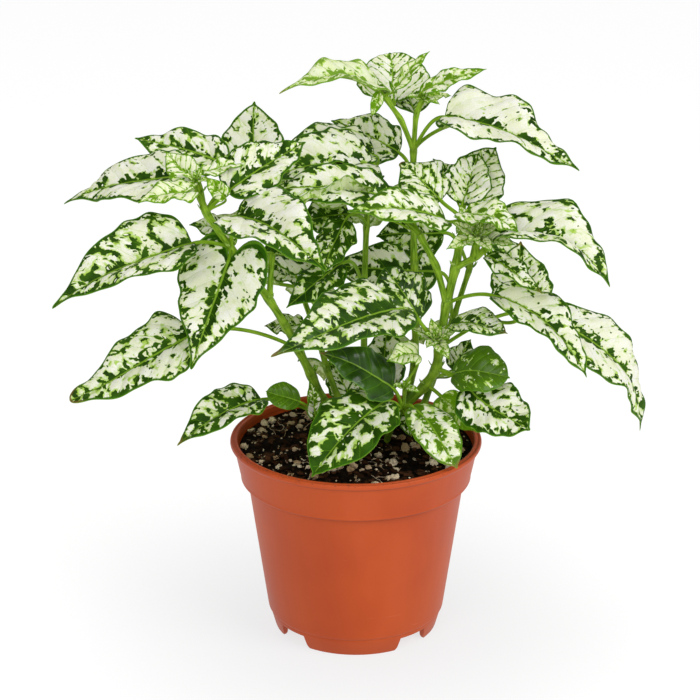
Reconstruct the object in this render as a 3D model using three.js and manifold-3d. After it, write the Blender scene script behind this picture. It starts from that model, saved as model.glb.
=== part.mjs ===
import * as THREE from 'three';
import { mergeVertices } from 'three/addons/utils/BufferGeometryUtils.js';
import Module from 'manifold-3d';

// A polka dot plant in a 12 cm plastic pot. Millimetres, +Z up, origin on the pot's axis where it stands.
// The front, which most leaves face, is towards -Y.

const wasm = await Module();
wasm.setup();

// Pot, turned on the Z axis
const potHeight = 96;
const rimRadius = 60;
const wall = 1.7;
const bodyTop = { radius: 51.8, z: 76 };
const bodyFoot = { radius: 42.6, z: 9.4, step: 1 };
const band = { low: 54.9, high: 58, z: 92.6, wall: 2.1, step: 1.4 };
const rimWidth = 3.7;
const rimRound = 1.2;
const edgeRound = 0.7;
const floorLow = 7.4;
const floorHigh = 9.6;
const footInner = 37.4;
const footOuter = 39.4;
const footCount = 4;
const footTurn = THREE.MathUtils.degToRad(-3);
const footGap = { width: 16.6, height: 6.8, depth: 14 };
const drain = { count: 5, radius: 4, ring: 24 };
const potSides = 36;
const holeSides = 12;

// Soil
const gap = 0.35;
const soilEdge = 91.6;
const soilCrown = 93.2;
const soilSides = 24;
const soilRings = [46, 35, 23, 11, 0];
const lumpHeight = 0.6;
const grain = { count: 22, spread: 50, least: 1.3, more: 1.4, clearOfStems: 7 };

// Stems stand down to rootZ in their holes in the soil. A stem slims towards its tip, it swells at each
// joint and is slimmer between them, and its side branches are slimmer than its main run.
const rootZ = 77;
const slimming = 0.45;
const jointSwell = 1.25;
const betweenJoints = 0.85;
const branchShare = 0.62;

// Leaves: the wider a leaf is, the more stations its blade has, which crowd towards its base, and a lobed
// one has two more, across its lobes. A leaf of the widest size has a thicker stalk. Narrow stretches of a
// blade wave less than those wider than fullWave. Lobes start within a share of the width and die away
// within a share of the length.
const bladeThickness = 0.8;
const leafSizes = [{ over: 19, stations: 5 }, { over: 11, stations: 4 }, { over: 6, stations: 3 }];
const leastStations = 2;
const crowding = 1.3;
const lobeStations = [0.003, 0.03];
const lobeShare = { width: 0.12, length: 0.12 };
const stalkRadius = { large: 1.1, small: 0.6 };
const stalkRise = 0.4;
const longStalk = 9;
const waveTurns = 2.2;
const fullWave = 6;
const otherSidePhase = 1.3;
const leastHalf = 0.5;

// Young leaves round a growing point that leans to the front, in degrees and in shares of the tuft's reach
const goldenAngle = THREE.MathUtils.degToRad(137.5);
const young = { lean: 30, steepest: 75, lowered: 65, shortest: 0.6, width: 0.42, fold: 10 };

const plastic = new THREE.MeshStandardMaterial({ color: 0xb8522e, roughness: 0.4, metalness: 0 });
const peat = new THREE.MeshStandardMaterial({ color: 0x1c120c, roughness: 1, metalness: 0 });
const foliage = new THREE.MeshStandardMaterial({ color: 0xc6d2a8, roughness: 0.45, metalness: 0 });

const point = (p) => new THREE.Vector3(...p);

function randomFrom(seed) {
  const [factor, step, turnover] = [1664525, 1013904223, 2 ** 32];
  let state = seed;
  return () => {
    state = (state * factor + step) % turnover;
    return state / turnover;
  };
}

// Closed solids

function toSolid(geometry) {
  const bare = geometry.clone();
  bare.deleteAttribute('normal');
  bare.deleteAttribute('uv');
  const merged = mergeVertices(bare, 1e-4);
  const corners = merged.index.array;
  const kept = [];
  for (let i = 0; i < corners.length; i += 3) {
    const [a, b, c] = [corners[i], corners[i + 1], corners[i + 2]];
    if (a !== b && b !== c && c !== a) kept.push(a, b, c);
  }
  return new wasm.Manifold(new wasm.Mesh({
    numProp: 3,
    vertProperties: new Float32Array(merged.attributes.position.array),
    triVerts: Uint32Array.from(kept),
  }));
}

function fuse(solids) {
  let row = solids;
  while (row.length > 1) {
    const pairs = [];
    for (let i = 0; i < row.length; i += 2) pairs.push(i + 1 < row.length ? row[i].add(row[i + 1]) : row[i]);
    row = pairs;
  }
  return row[0];
}

function toMesh(name, solid, material) {
  const { vertProperties, triVerts } = solid.getMesh();
  const geometry = new THREE.BufferGeometry();
  geometry.setAttribute('position', new THREE.BufferAttribute(Float32Array.from(vertProperties), 3));
  geometry.setIndex(new THREE.BufferAttribute(Uint32Array.from(triVerts), 1));
  geometry.computeVertexNormals();
  const mesh = new THREE.Mesh(geometry, material);
  mesh.name = name;
  return mesh;
}

function turned(profile, sides) {
  const points = profile.map(([radius, z]) => new THREE.Vector2(radius, z));
  return new THREE.LatheGeometry(points, sides).rotateX(Math.PI / 2);
}

function cylinder(radius, from, to, sides) {
  const length = from.distanceTo(to);
  const turn = new THREE.Quaternion().setFromUnitVectors(
    new THREE.Vector3(0, 1, 0), to.clone().sub(from).normalize());
  const middle = from.clone().add(to).multiplyScalar(0.5);
  return new THREE.CylinderGeometry(radius, radius, length, sides)
    .applyQuaternion(turn).translate(middle.x, middle.y, middle.z);
}

// The pot: thin tapered wall, a wider band under a rolled rim, a floor with drain holes, four feet

const bodyInner = (z) => THREE.MathUtils.mapLinear(
  z, bodyFoot.z, bodyTop.z, bodyFoot.radius, bodyTop.radius) - wall;
const bandInner = (z) => THREE.MathUtils.mapLinear(
  z, bodyTop.z + band.step, band.z, band.low, band.high) - band.wall;

function makePot() {
  const solid = toSolid(turned([
    [0, floorLow], [footInner + 0.4, floorLow], [footInner, 0], [footOuter, 0],
    [bodyFoot.radius - bodyFoot.step, floorLow + 0.6],
    [bodyFoot.radius - bodyFoot.step, bodyFoot.z - 0.5],
    [bodyFoot.radius, bodyFoot.z + 0.2], [bodyTop.radius, bodyTop.z],
    [band.low - edgeRound, bodyTop.z + 0.3], [band.low, bodyTop.z + band.step], [band.high, band.z],
    [rimRadius - 0.6, band.z + rimRound], [rimRadius, potHeight - rimRound],
    [rimRadius - edgeRound, potHeight], [rimRadius - rimWidth, potHeight], [bandInner(band.z), band.z],
    [bandInner(bodyTop.z + 2.6), bodyTop.z + 2.6], [bodyInner(bodyTop.z), bodyTop.z + 0.6],
    [bodyInner(floorHigh + 0.9), floorHigh + 0.9], [bodyInner(floorHigh) - 1, floorHigh], [0, floorHigh],
  ], potSides));
  const cuts = [];
  for (let i = 0; i < footCount; i += 1) {
    const angle = footTurn + (i + 0.5) * 2 * Math.PI / footCount;
    cuts.push(toSolid(new THREE.BoxGeometry(footGap.width, footGap.depth, footGap.height + 2)
      .translate(0, -footOuter, footGap.height / 2 - 1).rotateZ(angle)));
  }
  for (let i = 0; i < drain.count; i += 1) {
    const angle = i * 2 * Math.PI / drain.count;
    const hole = new THREE.Vector3(drain.ring * Math.cos(angle), drain.ring * Math.sin(angle), floorLow - 1);
    cuts.push(toSolid(cylinder(drain.radius, hole, hole.clone().setZ(floorHigh + 1), holeSides)));
  }
  return solid.subtract(fuse(cuts));
}

// The soil: fills the pot to just under the rim, with a lumpy top, grains of bark and perlite in it,
// and a plain hole for each stem

function soilTop(x, y) {
  const out = Math.hypot(x, y) / (bandInner(soilEdge) - gap);
  const lumps = Math.sin(x * 0.31 + 1.2) * Math.cos(y * 0.27) + 0.6 * Math.sin(x * 0.13 - y * 0.41);
  return THREE.MathUtils.lerp(soilCrown, soilEdge, out * out) + lumpHeight * lumps * (1 - out ** 6);
}

function makeSoil(stems) {
  const edge = bandInner(soilEdge) - gap;
  const rings = [edge, ...soilRings];
  const body = turned([
    [0, floorHigh + gap], [bodyInner(floorHigh) - 1.4, floorHigh + gap],
    [bodyInner(floorHigh + 1.2) - gap, floorHigh + 1.2], [bodyInner(bodyTop.z) - gap, bodyTop.z - 0.2],
    [bodyInner(bodyTop.z) - gap, bodyTop.z + 1.1], [bandInner(bodyTop.z + 3) - gap - 0.1, bodyTop.z + 3],
    ...rings.map((radius) => [radius, soilEdge]),
  ], soilSides);
  const place = body.attributes.position;
  for (let i = 0; i < place.count; i += 1) {
    if (place.getZ(i) > soilEdge - 0.1 && Math.hypot(place.getX(i), place.getY(i)) < edge - 1) {
      place.setZ(i, soilTop(place.getX(i), place.getY(i)));
    }
  }
  const random = randomFrom(11);
  const solids = [toSolid(body)];
  for (let i = 0; i < grain.count; i += 1) {
    const out = grain.spread * Math.sqrt(random());
    const angle = 2 * Math.PI * random();
    const size = grain.least + grain.more * random();
    const [x, y] = [out * Math.cos(angle), out * Math.sin(angle)];
    const lump = new THREE.IcosahedronGeometry(size, 0).scale(1 + 0.5 * random(), 1, 0.8)
      .rotateZ(angle).translate(x, y, soilTop(x, y) + 0.1 * size);
    const clear = stems.every(({ nodes: [, [nearX, nearY]] }) => (
      Math.hypot(x - nearX, y - nearY) > grain.clearOfStems));
    if (clear) solids.push(toSolid(lump));
  }
  const holes = stems.map(({ nodes, radius }) => {
    const [root, collar] = [point(nodes[0]), point(nodes[1])];
    const way = collar.clone().sub(root).normalize();
    const foot = root.clone().addScaledVector(way, -gap);
    const above = collar.clone().addScaledVector(way, 8);
    return toSolid(cylinder(radius + gap, foot, above, holeSides));
  });
  return fuse(solids).subtract(fuse(holes));
}

// Stems and leaves are lofted: rings of points, each with its upper points from one side to the other
// and then its lower points on the way back, joined in order and closed at both ends

function loft(rings) {
  const around = rings[0].length;
  const last = (rings.length - 1) * around;
  const faces = [];
  for (let start = 0; start < last; start += around) {
    for (let k = 0; k < around; k += 1) {
      const next = (k + 1) % around;
      const [a, b, c, d] = [start + k, start + next, start + around + next, start + around + k];
      if (k < around / 2 - 1) faces.push(a, b, c, a, c, d);
      else faces.push(a, b, d, b, c, d);
    }
  }
  for (let j = 0; j < around / 2 - 1; j += 1) {
    const under = around - 1 - j;
    faces.push(j, under, under - 1, j, under - 1, j + 1);
    faces.push(last + j, last + under - 1, last + under, last + j, last + j + 1, last + under - 1);
  }
  const geometry = new THREE.BufferGeometry();
  const spots = rings.flat().flatMap((p) => p.toArray());
  geometry.setAttribute('position', new THREE.Float32BufferAttribute(spots, 3));
  geometry.setIndex(faces);
  return toSolid(geometry);
}

// A ring across a stem or stalk: six points about its middle
function roundRing(middle, along, up, radius) {
  const normal = up.clone().projectOnPlane(along).normalize();
  const side = along.clone().cross(normal);
  const spots = [[-0.87, 0.5], [0, 1], [0.87, 0.5], [0.87, -0.5], [0, -1], [-0.87, -0.5]];
  return spots.map(([across, high]) => middle.clone()
    .addScaledVector(side, across * radius).addScaledVector(normal, high * radius));
}

// One run of a stem, with a swollen joint at each node and slimmer between them
function makeRun(stem, run, width) {
  const rings = [];
  const ahead = new THREE.Vector3(0, 1, 0);
  const spots = run.map((node) => point(stem.nodes[node]));
  spots.forEach((spot, i) => {
    const radius = width * (1 - slimming * i / stem.nodes.length);
    const before = spot.clone().sub(spots[Math.max(i - 1, 0)]).normalize();
    const after = spots[Math.min(i + 1, spots.length - 1)].clone().sub(spot).normalize();
    if (i > 1) {
      const between = spot.clone().lerp(spots[i - 1], 0.5);
      rings.push(roundRing(between, before, ahead, radius * betweenJoints));
    }
    const swell = i > 1 && i < spots.length - 1 ? jointSwell : 1;
    rings.push(roundRing(spot, before.add(after).normalize(), ahead, radius * swell));
  });
  return loft(rings);
}

// A leaf: its stalk leaves the node rising and bends into the line of the blade. The blade's midrib is
// a quadratic curve that arches towards its upper side. Its two halves fold up from the midrib and wave
// at the edge, and its outline is widest at round / (round + taper) of its length.
const usual = {
  arch: 0.1, fold: 15, face: [0, -0.5, 1], round: 0.5, taper: 1, lobe: 0, wave: 1.2, phase: 0,
};

function makeLeaf(node, leaf) {
  const { base, tip, width, arch, fold, face, round, taper, lobe, wave, phase } = { ...usual, ...leaf };
  const [from, to] = [point(base), point(tip)];
  const length = from.distanceTo(to);
  const way = to.clone().sub(from).normalize();
  const up = point(face).projectOnPlane(way).normalize();
  const bend = from.clone().add(to).multiplyScalar(0.5).addScaledVector(up, arch * length);
  const midrib = new THREE.QuadraticBezierCurve3(from, bend, to);
  const widest = round / (round + taper);
  const peak = widest ** round * (1 - widest) ** taper;
  const lean = THREE.MathUtils.degToRad(fold);

  const stations = leafSizes.find(({ over }) => width > over)?.stations ?? leastStations;
  const large = width > leafSizes[0].over;
  const blade = [];
  const shares = lobe ? [...lobeStations] : [];
  for (let i = 1; i <= stations; i += 1) shares.push((i / stations) ** crowding);
  for (const u of shares) {
    const along = midrib.getTangent(u);
    const normal = up.clone().projectOnPlane(along).normalize();
    const side = along.clone().cross(normal);
    const half = Math.max(width / 2 * u ** round * (1 - u) ** taper / peak, leastHalf);
    const setBack = lobe * length
      * (1 - Math.exp(-half / (lobeShare.width * width))) * Math.exp(-u / lobeShare.length);
    const spot = (v, lift) => {
      const ripple = wave * Math.min(1, half / fullWave)
        * Math.sin(2 * Math.PI * waveTurns * u + phase + (v < 0 ? otherSidePhase : 0));
      return midrib.getPoint(u)
        .addScaledVector(side, v * half * Math.cos(lean))
        .addScaledVector(normal, Math.abs(v) * (half * Math.sin(lean) + ripple) + lift)
        .addScaledVector(along, -setBack * Math.abs(v));
    };
    const lift = bladeThickness / 2;
    const upper = [-1, 0, 1].map((v) => spot(v, lift));
    const lower = [1, 0, -1].map((v) => spot(v, -lift));
    blade.push([...upper, ...lower]);
  }
  const reach = node.distanceTo(from);
  const radius = large ? stalkRadius.large : stalkRadius.small;
  const start = midrib.getTangent(0);
  if (reach < 1) return loft([roundRing(from, start, up, radius), ...blade]);

  const rise = from.clone().sub(node).normalize().add(new THREE.Vector3(0, 0, stalkRise)).normalize();
  const stalk = new THREE.CubicBezierCurve3(
    node, node.clone().addScaledVector(rise, reach * 0.35),
    from.clone().addScaledVector(start, -reach * 0.3), from);
  const steps = reach < longStalk ? 1 : 2;
  const rings = [];
  for (let i = steps; i >= 0; i -= 1) {
    const along = stalk.getTangent(i / steps);
    up.projectOnPlane(along).normalize();
    rings.unshift(roundRing(stalk.getPoint(i / steps), along, up, radius));
  }
  return loft([...rings, ...blade]);
}

// A tuft: young leaves by the golden angle, the outer ones longer and lower
function youngLeaves(tip, { count, reach }) {
  const ahead = new THREE.Vector3(1, 0, 0);
  const lean = THREE.MathUtils.degToRad(young.lean);
  const leaves = [];
  for (let i = 0; i < count; i += 1) {
    const heading = i * goldenAngle;
    const rise = THREE.MathUtils.degToRad(young.steepest - young.lowered * i / count);
    const length = reach * THREE.MathUtils.lerp(young.shortest, 1, i / count);
    const out = new THREE.Vector3(Math.cos(heading), Math.sin(heading), 0);
    const end = out.clone().multiplyScalar(Math.cos(rise)).setZ(Math.sin(rise))
      .applyAxisAngle(ahead, lean).multiplyScalar(length).add(tip);
    const face = out.clone().negate().setZ(1).applyAxisAngle(ahead, lean);
    leaves.push(makeLeaf(tip, {
      base: tip.toArray(), tip: end.toArray(), width: length * young.width, face: face.toArray(),
      fold: young.fold, wave: 0,
    }));
  }
  return leaves;
}

function makeLeafyStem(stem) {
  const at = (node) => point(stem.nodes[node]);
  return fuse([
    ...stem.runs.map((run, i) => makeRun(stem, run, stem.radius * (i ? branchShare : 1))),
    ...stem.leaves.map((leaf) => makeLeaf(at(leaf.node), leaf)),
    ...stem.tufts.flatMap((tuft) => youngLeaves(at(tuft.node), tuft)),
  ]);
}

// The leafy stems. nodes are the joints of the stem from its root up, runs join them, and each leaf
// names the node it grows from, the two ends of its blade and the blade's width.

const left = {
  radius: 2.6,
  nodes: [
    [-5, 6, rootZ], [-6, 6, 96], [-16, 2, 114], [-21, 0, 127], [-27, -3, 141], [-33, -5, 154],
    [-40, -8, 167], [-57, -10, 192], [-68, -10, 209], [-71, -10, 218], [-72, -10, 224], [-39, 4, 185],
  ],
  runs: [[0, 1, 2, 3, 4, 5, 6, 7, 8, 9, 10], [6, 11]],
  leaves: [
    { node: 7, base: [-74, -18, 197], tip: [-135, -42, 174], width: 42, fold: 25, round: 0.4, taper: 1.2 },
    {
      node: 7, base: [-58, -16, 188], tip: [-74, -44, 146], width: 40, arch: 0.08, fold: 5, face: [0, -1, 1],
      round: 0.36, taper: 1.35, lobe: 0.32,
    },
    {
      node: 4, base: [-75, -24, 155], tip: [-129, -44, 131], width: 36, arch: 0.02, fold: 10,
      face: [0, -0.6, 1], round: 0.3, taper: 1.1,
    },
    { node: 8, base: [-75, -4, 225], tip: [-136, 16, 206], width: 35, fold: 12, taper: 1.3 },
    {
      node: 8, base: [-59, 10, 226], tip: [-103, 26, 235], width: 24, arch: 0.06, fold: 5,
      face: [0, -0.9, 1],
    },
    { node: 9, base: [-73, -9, 223], tip: [-86, -4, 236], width: 15, fold: 10, face: [0, -1, 0.6] },
    { node: 8, base: [-72, -14, 220], tip: [-97, -26, 218], width: 16, arch: 0.16 },
    { node: 10, base: [-71, -8, 227], tip: [-48, -4, 231], width: 10 },
    { node: 8, base: [-58, -12, 219], tip: [-23, 6, 238], width: 30, face: [0, -0.7, 1], round: 0.45 },
    {
      node: 7, base: [-54, -20, 210], tip: [-13, -66, 199], width: 40, arch: 0.16, fold: 20,
      face: [0, -0.6, 1], round: 0.32, taper: 1.1,
    },
    { node: 8, base: [-59, -14, 217], tip: [-67, -18, 228], width: 9, face: [0, -1, 0.5] },
    { node: 11, base: [-43, 10, 184], tip: [-9, 22, 171], width: 22, fold: 5 },
    { node: 1, base: [-44, -14, 120], tip: [-81, -46, 110], width: 25, arch: 0.2, fold: 22 },
    {
      node: 1, base: [-26, -12, 118], tip: [-42, -16, 125], width: 14, face: [0, -1, 1], round: 0.6,
      taper: 0.6,
    },
    { node: 1, base: [-19, -8, 108], tip: [-22, -11, 129], width: 8 },
  ],
  tufts: [{ node: 10, count: 4, reach: 10 }],
};

const right = {
  radius: 2.8,
  nodes: [
    [7, 8, rootZ], [10, 8, 96], [21, 4, 108], [33, 2, 121], [38, 0, 130], [39, -2, 141],
    [42, -2, 163], [46, 0, 180], [48, 0, 193], [50, 0, 202], [55, -6, 187], [60, -10, 193],
    [55, -11, 197], [37, -9, 147], [37, -4, 182], [29, -3, 197],
  ],
  runs: [[0, 1, 2, 3, 4, 5, 6, 7, 8, 9], [7, 10, 11], [10, 12], [5, 13], [6, 14, 15]],
  leaves: [
    {
      node: 9, base: [49, 8, 208], tip: [57, 18, 230], width: 25, arch: 0.05, fold: 22,
      face: [-0.2, -0.8, 0.6], taper: 0.9,
    },
    {
      node: 9, base: [51, 12, 208], tip: [65, 21, 232], width: 27, arch: 0.05, fold: 5,
      face: [0.3, -0.8, 0.6], taper: 0.9,
    },
    { node: 9, base: [39, 4, 211], tip: [20, 14, 226], width: 32, fold: 5 },
    { node: 9, base: [45, 14, 212], tip: [36, 27, 225], width: 16, fold: 5 },
    {
      node: 9, base: [41, -6, 204], tip: [-4, -30, 215], width: 26, arch: 0.2, fold: 12,
      face: [0, -0.6, 1],
    },
    {
      node: 11, base: [64, -6, 195], tip: [115, -20, 177], width: 42, arch: 0.46, fold: 26,
      face: [0.1, -0.3, 1], round: 0.4,
    },
    { node: 9, base: [49, -6, 207], tip: [73, -22, 203], width: 22, arch: 0.3, face: [0, -0.4, 1] },
    { node: 11, base: [59, -14, 190], tip: [83, -36, 179], width: 14 },
    {
      node: 6, base: [63, -8, 169], tip: [105, -30, 137], width: 29, arch: 0.28, fold: 18,
      face: [0.3, -0.5, 1], round: 0.42, taper: 0.9,
    },
    {
      node: 5, base: [87, 6, 155], tip: [137, 12, 94], width: 36, arch: 0.38, fold: 10,
      face: [0.5, -0.6, 1], taper: 1.1, wave: 1.6,
    },
    {
      node: 5, base: [43, -8, 154], tip: [69, -24, 156], width: 20, arch: 0.24, face: [0, -0.4, 1],
      round: 0.6, taper: 0.75,
    },
    { node: 5, base: [29, -10, 158], tip: [13, 4, 179], width: 26, fold: 5, round: 0.6, taper: 0.7 },
    {
      node: 5, base: [19, -16, 165], tip: [-37, -72, 162], width: 41, arch: 0.12, fold: 14,
      face: [0, -0.6, 1], round: 0.38, taper: 1.2,
    },
    {
      node: 4, base: [45, -8, 130], tip: [71, -20, 133], width: 26, arch: 0.3, fold: 10,
      face: [0, -0.8, 1], round: 0.6, taper: 0.65,
    },
    {
      node: 4, base: [51, -14, 127], tip: [79, -40, 115], width: 30, arch: -0.1, fold: 5, face: [0, -0.9, 1],
      taper: 0.75,
    },
    { node: 3, base: [40, -4, 118], tip: [56, -20, 106], width: 20, fold: 5 },
    {
      node: 15, base: [17, 5, 212], tip: [-42, -9, 218], width: 30, arch: 0.2, fold: 12,
      face: [0, -0.6, 1], taper: 1.1,
    },
    { node: 15, base: [7, 2, 210], tip: [-27, -26, 219], width: 24, arch: 0.15, face: [0, 1, 0.7] },
    { node: 15, base: [-5, -4, 204], tip: [-15, -18, 182], width: 18, fold: 5 },
  ],
  tufts: [
    { node: 9, count: 4, reach: 9 },
    { node: 12, count: 7, reach: 16 },
    { node: 13, count: 6, reach: 14 },
  ],
};

const tall = {
  radius: 2.2,
  nodes: [
    [23, 37, rootZ], [24, 36, 96], [29, 34, 121], [29, 32, 141], [28, 32, 173], [27, 32, 201],
    [27, 32, 228], [21, 30, 243], [13, 30, 254], [28, 32, 245], [31, 32, 252],
  ],
  runs: [[0, 1, 2, 3, 4, 5, 6], [6, 7, 8], [6, 9, 10]],
  leaves: [
    {
      node: 8, base: [11, 32, 255], tip: [-35, 12, 259], width: 28, arch: 0.36, fold: 20, face: [0, -0.3, 1],
      round: 0.4, taper: 1.3,
    },
    { node: 8, base: [18, 44, 248], tip: [16, 62, 268], width: 34, fold: 5, taper: 0.6 },
    { node: 8, base: [17, 30, 256], tip: [34, 30, 275], width: 9 },
    { node: 8, base: [11, 26, 257], tip: [7, 22, 246], width: 6, face: [0, -1, 0.3] },
    { node: 10, base: [30, 28, 256], tip: [60, 24, 268], width: 11, face: [0, -0.8, 1] },
    { node: 10, base: [30, 36, 252], tip: [45, 44, 251], width: 8 },
    {
      node: 6, base: [41, 26, 245], tip: [102, 4, 225], width: 41, arch: 0.16, fold: 20,
      face: [0.2, -0.5, 1], round: 0.34, taper: 1.2,
    },
    {
      node: 5, base: [21, 58, 220], tip: [-12, 66, 234], width: 28, arch: 0.16, fold: 5,
      face: [0, -0.7, 1],
    },
    { node: 5, base: [29, 44, 205], tip: [26, 72, 184], width: 26, arch: 0.2, face: [0, 0.5, 1] },
    { node: 3, base: [22, 46, 150], tip: [-8, 70, 140], width: 28, arch: 0.2, face: [0, 0.5, 1] },
    { node: 3, base: [28, 50, 126], tip: [14, 70, 106], width: 28, arch: 0.2, face: [0, 0.5, 1] },
    { node: 10, base: [28, 46, 242], tip: [22, 68, 254], width: 22, face: [0, 0, 1] },
    { node: 6, base: [40, 40, 236], tip: [78, 56, 232], width: 26, arch: 0.2, face: [0, 0.3, 1] },
  ],
  tufts: [{ node: 10, count: 3, reach: 9 }],
};

const middle = {
  radius: 2.2,
  nodes: [[3, 30, rootZ], [3, 30, 96], [4, 30, 124], [4, 32, 159], [5, 32, 191], [6, 30, 211]],
  runs: [[0, 1, 2, 3, 4, 5]],
  leaves: [
    {
      node: 5, base: [9, 44, 222], tip: [-40, 29, 225], width: 34, arch: 0.2, fold: 10,
      face: [0, -0.5, 1],
    },
    {
      node: 5, base: [8, 32, 221], tip: [-40, 12, 218], width: 42, arch: 0.18, fold: 12, face: [0, -0.6, 1],
      round: 0.42,
    },
    { node: 4, base: [-3, 12, 202], tip: [-27, 0, 202], width: 22, fold: 5, face: [0, -1, 1] },
    { node: 3, base: [-7, 6, 180], tip: [-32, -14, 165], width: 20, fold: 5 },
    { node: 1, base: [13, 44, 102], tip: [15, 50, 138], width: 22, fold: 5 },
    { node: 5, base: [4, 44, 206], tip: [-13, 70, 206], width: 28, arch: 0.15, face: [0, 0.3, 1] },
    { node: 4, base: [6, 44, 192], tip: [6, 70, 178], width: 26, arch: 0.15, face: [0, 0.3, 1] },
  ],
  tufts: [{ node: 5, count: 4, reach: 9 }],
};

const low = {
  radius: 1.6,
  nodes: [[14, 1, rootZ], [15, 0, 96], [22, -6, 112], [23, -8, 124]],
  runs: [[0, 1, 2, 3]],
  leaves: [
    {
      node: 2, base: [17, -12, 125], tip: [-17, -22, 146], width: 24, arch: 0.18, fold: 8,
      face: [0, -0.9, 1],
      round: 0.42,
    },
    { node: 3, base: [29, -12, 141], tip: [14, -20, 141], width: 14, arch: 0.3, face: [0, -0.8, 1] },
    {
      node: 2, base: [26, -12, 116], tip: [46, -44, 98], width: 22, arch: 0.16, fold: 8,
      round: 0.6, taper: 0.7,
    },
    {
      node: 2, base: [14, -14, 119], tip: [-20, -54, 98], width: 36, arch: 0.26, fold: 14,
      round: 0.58, taper: 0.75,
    },
    { node: 2, base: [20, -10, 113], tip: [15, -18, 106], width: 6, face: [0, -1, 0.3] },
    { node: 2, base: [23, -10, 111], tip: [26, -18, 103], width: 8, face: [0, -1, 0.3] },
  ],
  tufts: [{ node: 3, count: 3, reach: 8 }],
};

const backLeft = {
  radius: 2.1,
  nodes: [
    [-1, 20, rootZ], [-2, 22, 96], [-8, 26, 104], [-14, 30, 119], [-18, 36, 132], [-27, 44, 155],
    [-40, 48, 192],
  ],
  runs: [[0, 1, 2, 3, 4, 5, 6]],
  leaves: [
    {
      node: 6, base: [-50, 36, 207], tip: [-48, 46, 248], width: 33, arch: 0.05, fold: 5,
      round: 0.6, taper: 0.9,
    },
    { node: 2, base: [-2, 36, 102], tip: [-13, 50, 115], width: 18, fold: 5 },
    { node: 5, base: [-29, 38, 162], tip: [-47, 22, 174], width: 24, fold: 5 },
    { node: 4, base: [-26, 44, 136], tip: [-45, 48, 135], width: 15, fold: 5 },
    { node: 6, base: [-57, 44, 183], tip: [-80, 40, 189], width: 18, fold: 5 },
    { node: 6, base: [-46, 56, 189], tip: [-74, 62, 164], width: 30, arch: 0.2, face: [0, 0.5, 1] },
    { node: 6, base: [-39, 56, 196], tip: [-44, 70, 211], width: 26, face: [0, 0, 1] },
    { node: 5, base: [-29, 52, 152], tip: [-8, 70, 129], width: 28, arch: 0.2, face: [0, 0.5, 1] },
    { node: 5, base: [-37, 50, 156], tip: [-70, 64, 143], width: 26, arch: 0.2, face: [0, 0.3, 1] },
    { node: 3, base: [-15, 44, 116], tip: [-16, 70, 98], width: 26, arch: 0.2, face: [0, 0.5, 1] },
  ],
  tufts: [{ node: 6, count: 3, reach: 9 }],
};

const backRight = {
  radius: 2.1,
  nodes: [[31, 34, rootZ], [33, 36, 96], [38, 46, 107], [48, 54, 136], [56, 58, 161], [60, 56, 184]],
  runs: [[0, 1, 2, 3, 4, 5]],
  leaves: [
    { node: 3, base: [79, 24, 151], tip: [79, 36, 182], width: 30, fold: 5 },
    {
      node: 3, base: [40, 48, 163], tip: [-14, 47, 167], width: 28, arch: 0.05, fold: 5,
      face: [0, -1, 0.6],
    },
    {
      node: 4, base: [43, 54, 181], tip: [10, 58, 178], width: 26, arch: 0.05, fold: 5,
      face: [0, -1, 0.5],
    },
    { node: 2, base: [48, 30, 118], tip: [56, 34, 133], width: 16, fold: 5 },
    { node: 5, base: [66, 55, 186], tip: [100, 57, 183], width: 28, arch: 0.2, face: [0, 0.3, 1] },
    { node: 5, base: [58, 60, 192], tip: [64, 68, 208], width: 26, face: [0, 0, 1] },
    { node: 5, base: [62, 57, 178], tip: [84, 61, 140], width: 30, arch: 0.2, face: [0.3, -0.5, 1] },
    { node: 2, base: [44, 52, 108], tip: [72, 64, 92], width: 28, arch: 0.2, face: [0, 0.4, 1] },
  ],
  tufts: [{ node: 5, count: 3, reach: 9 }],
};

const leafyStems = {
  leafy_stem_left: left,
  leafy_stem_right: right,
  leafy_stem_tall: tall,
  leafy_stem_middle: middle,
  leafy_shoot_low: low,
  leafy_stem_back_left: backLeft,
  leafy_stem_back_right: backRight,
};

const plant = new THREE.Group();
plant.add(toMesh('pot', makePot(), plastic));
plant.add(toMesh('soil', makeSoil(Object.values(leafyStems)), peat));
for (const [name, stem] of Object.entries(leafyStems)) {
  plant.add(toMesh(name, makeLeafyStem(stem), foliage));
}

export default plant;
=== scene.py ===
import math

import bmesh
import bpy
import numpy as np
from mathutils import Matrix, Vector, noise


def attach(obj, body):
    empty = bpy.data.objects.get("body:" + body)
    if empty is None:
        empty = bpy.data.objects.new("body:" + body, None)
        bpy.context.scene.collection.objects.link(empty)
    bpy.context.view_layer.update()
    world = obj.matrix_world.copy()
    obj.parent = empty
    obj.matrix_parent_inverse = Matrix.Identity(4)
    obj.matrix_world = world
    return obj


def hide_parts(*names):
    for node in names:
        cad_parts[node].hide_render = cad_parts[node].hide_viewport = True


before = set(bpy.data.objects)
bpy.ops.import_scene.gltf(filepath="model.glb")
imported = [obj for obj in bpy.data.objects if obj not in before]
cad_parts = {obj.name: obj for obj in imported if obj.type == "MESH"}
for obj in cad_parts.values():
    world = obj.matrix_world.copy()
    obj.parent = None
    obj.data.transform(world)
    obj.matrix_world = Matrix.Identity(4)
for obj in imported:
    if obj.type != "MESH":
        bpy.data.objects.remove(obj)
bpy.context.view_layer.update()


# The pot is a 12 cm nursery pot, moulded in one shot from orange-brown polypropylene. A thin tapered
# body carries a wider band under a rolled rim, and stands on four feet cut from one ring. Its floor has
# five drain holes. Its sizes, like those of the soil and the plant, are in millimetres.

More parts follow.
